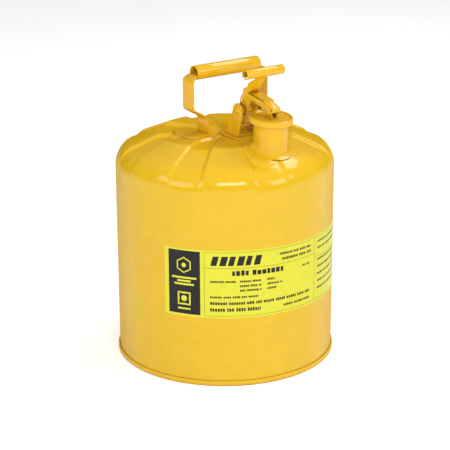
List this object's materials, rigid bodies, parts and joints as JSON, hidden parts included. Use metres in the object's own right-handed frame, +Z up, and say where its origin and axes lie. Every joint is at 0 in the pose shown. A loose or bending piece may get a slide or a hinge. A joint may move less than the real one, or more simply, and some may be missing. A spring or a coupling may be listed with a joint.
{
  "type": "flammable liquid safety can",
  "caption": "Round drawn-steel safety can with a ribbed dome, fixed carrying handle and a spring-closed pouring lid opened by a squeeze lever.",
  "frame": {"origin": "centre of the seam ring that the can stands on", "axes": "+Z up along the body's axis, spout towards -Y, carrying handle along X"},
  "size_m": [0.2985, 0.2984, 0.4062],
  "materials": {
    "yellow_body": "gloss",
    "yellow_fittings": "gloss",
    "screen_steel": "satin",
    "brass_gauze": "satin",
    "spring_steel": "satin",
    "black_rubber": "matte",
    "label_film": "semi-matte"
  },
  "bodies": {
    "root": {"body_shell": "yellow_body", "bottom_plate": "yellow_body", "pouring_spout": "yellow_fittings", "arrester_cage": "screen_steel", "arrester_screen": "brass_gauze", "arrester_ring": "spring_steel", "clevis_bracket": "yellow_fittings", "spring_tie_rod": "yellow_fittings", "pivot_pin": "yellow_fittings", "pivot_spacers": "screen_steel", "handle_strap": "yellow_fittings", "grip_sleeve": "yellow_fittings", "label": "label_film"},
    "lever": {"trigger_lever": "yellow_fittings", "trigger_bar": "yellow_fittings", "lid_arm": "yellow_fittings", "torsion_spring": "spring_steel"},
    "lid": {"lid_cap": "yellow_fittings", "lid_gasket": "black_rubber", "gasket_retainer": "screen_steel", "lid_rivet": "screen_steel", "lid_bracket": "yellow_fittings", "lid_pin": "yellow_fittings"}
  },
  "joints": [
    {"name": "lever_squeeze", "type": "hinge", "parent": "root", "child": "lever", "pos_m": [0, -0.05, 0.3455], "axis": [-1, 0, 0], "range_deg": [0, 60], "stiffness_Nm_per_rad": 1.1, "springref_deg": -51.57, "deforming": ["torsion_spring"]},
    {"name": "lid_rock", "type": "hinge", "parent": "lever", "child": "lid", "pos_m": [0, -0.101, 0.3505], "axis": [1, 0, 0], "range_deg": [-2, 2], "deforming": ["lid_gasket"]}
  ]
}
